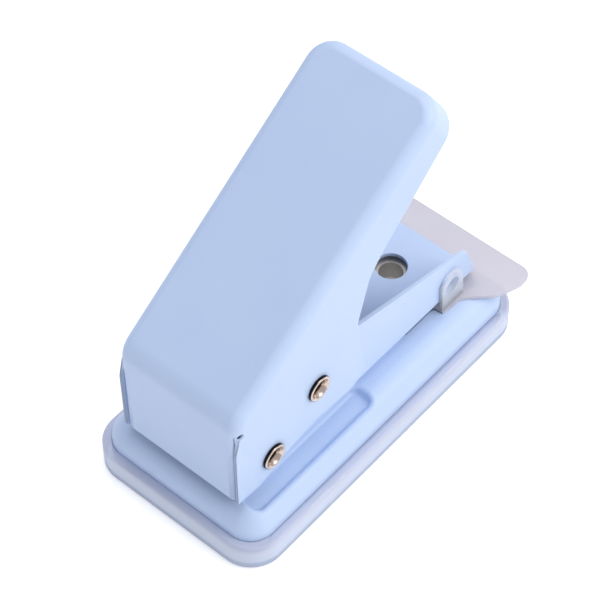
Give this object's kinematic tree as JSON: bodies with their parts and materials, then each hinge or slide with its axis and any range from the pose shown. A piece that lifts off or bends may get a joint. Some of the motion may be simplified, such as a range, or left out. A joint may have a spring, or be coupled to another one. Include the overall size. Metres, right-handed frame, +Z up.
{
  "type": "single hole punch",
  "caption": "Desk hole punch for one round hole: a sheet-metal lever handle on a low rounded base with a clip-on chip tray.",
  "frame": {"origin": "centre of the chip tray's footprint, on the table", "axes": "+X towards the paper mouth, +Y to the left, +Z up"},
  "size_m": [0.1023, 0.0526, 0.0913],
  "materials": {
    "frosted_plastic": "frosted translucent polypropylene",
    "powder_coat": "satin powder coating on sheet steel",
    "plated_rivet": "warm plated steel",
    "tool_steel": "ground tool steel",
    "zinc_steel": "zinc-plated sheet steel",
    "spring_steel": "spring steel wire",
    "nylon": "natural nylon"
  },
  "bodies": {
    "base": {"base_shell": "powder_coat", "die_bush": "tool_steel", "paper_guide": "frosted_plastic", "throat_spacer": "powder_coat", "lever_frame": "powder_coat", "frame_rivets": "zinc_steel", "return_spring": "spring_steel"},
    "tray": {"chip_tray": "frosted_plastic"},
    "handle": {"handle_cover": "powder_coat", "punch_arm": "zinc_steel", "pivot_rivet": "plated_rivet", "rear_rivet": "plated_rivet", "pivot_washers": "nylon", "pivot_sleeves": "zinc_steel", "rear_sleeves": "zinc_steel", "slot_bushes": "nylon", "cross_pin": "tool_steel", "pin_clips": "spring_steel"},
    "punch": {"punch_pin": "tool_steel"}
  },
  "joints": [
    {"name": "handle_press", "type": "hinge", "parent": "base", "child": "handle", "pos_m": [-0.018, 0, 0.0338], "axis": [0, 1, 0], "range_deg": [0, 33.76], "stiffness_Nm_per_rad": 1.5, "springref_deg": -28.65, "deforming": ["return_spring"]},
    {"name": "punch_upright", "type": "hinge", "parent": "handle", "child": "punch", "pos_m": [0.02291, 0, 0.05898], "axis": [0, 1, 0], "range_deg": [-33.76, 0]},
    {"name": "tray_off", "type": "slide", "parent": "base", "child": "tray", "axis": [0, 0, -1], "range_m": [0, 0.012]}
  ],
  "couplings": [
    {"joint": "punch_upright", "follows": "handle_press", "ratio": -1}
  ]
}
